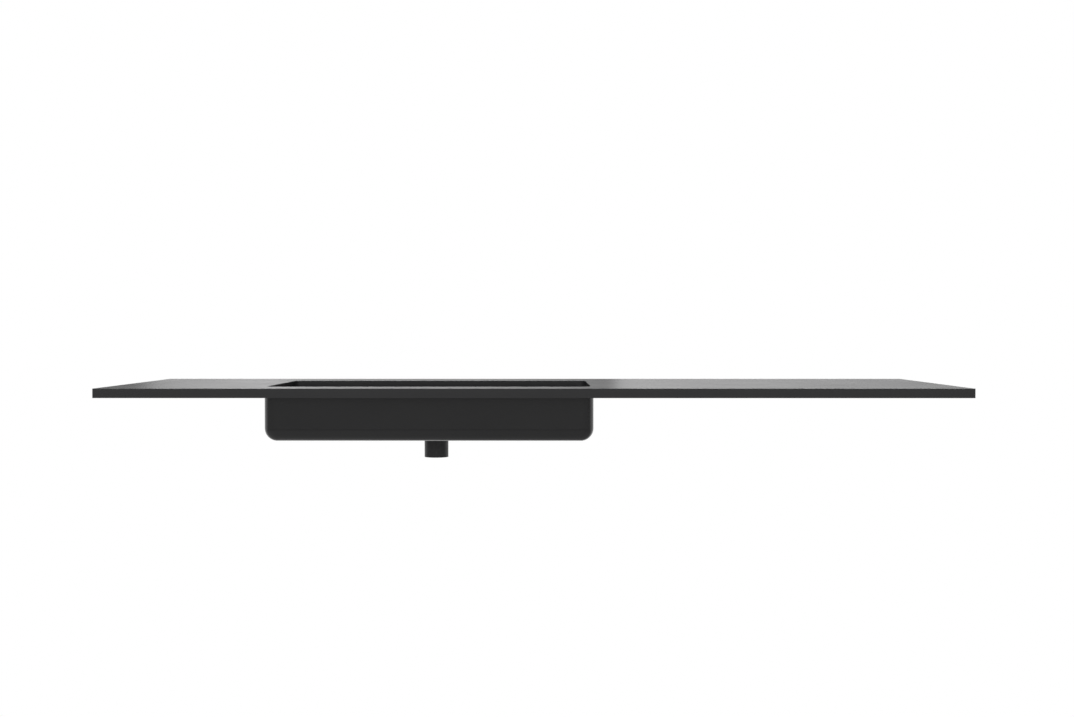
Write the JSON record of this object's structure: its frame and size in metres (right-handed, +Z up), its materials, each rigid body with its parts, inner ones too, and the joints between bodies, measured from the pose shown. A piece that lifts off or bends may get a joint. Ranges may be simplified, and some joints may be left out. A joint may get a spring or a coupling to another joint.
{
  "type": "washbasin",
  "caption": "Long thin vanity-top washbasin with a rectangular bowl hung under the slab left of the middle, a push-to-open waste and a short plain waste tail.",
  "frame": {"origin": "middle of the slab's lower back edge, where the cabinet's top meets the wall", "axes": "+X along the wall to the right as seen from the room, +Y towards the wall, +Z up"},
  "size_m": [1.4, 0.5, 0.131],
  "materials": {
    "solid_surface": "satin",
    "sealant": "satin",
    "coated_metal": "satin",
    "gasket_rubber": "matte",
    "turned_brass": "satin",
    "acetal": "satin",
    "spring_steel": "polished"
  },
  "bodies": {
    "basin": {"countertop": "solid_surface", "basin_bowl": "solid_surface", "rim_sealant": "sealant", "waste_flange": "coated_metal", "flange_gasket": "gasket_rubber", "lower_gasket": "gasket_rubber", "waste_tail": "coated_metal", "barrel_locknut": "turned_brass", "click_barrel": "turned_brass", "cam_guide": "acetal", "click_spring": "spring_steel"},
    "plug": {"plug_cap": "coated_metal", "plug_seal": "gasket_rubber", "plug_stem": "turned_brass"},
    "cam": {"click_cam": "acetal"}
  },
  "joints": [
    {"name": "plug_lift", "type": "slide", "parent": "basin", "child": "plug", "axis": [0, 0, 1], "range_m": [0, 0.008], "deforming": ["click_spring"]},
    {"name": "cam_turn", "type": "hinge", "parent": "plug", "child": "cam", "pos_m": [-0.173, -0.225, -0.09], "axis": [0, 0, 1], "range_deg": [0, 45.1]}
  ],
  "couplings": [
    {"joint": "cam_turn", "follows": "plug_lift", "rad_per_m": 98.175}
  ]
}
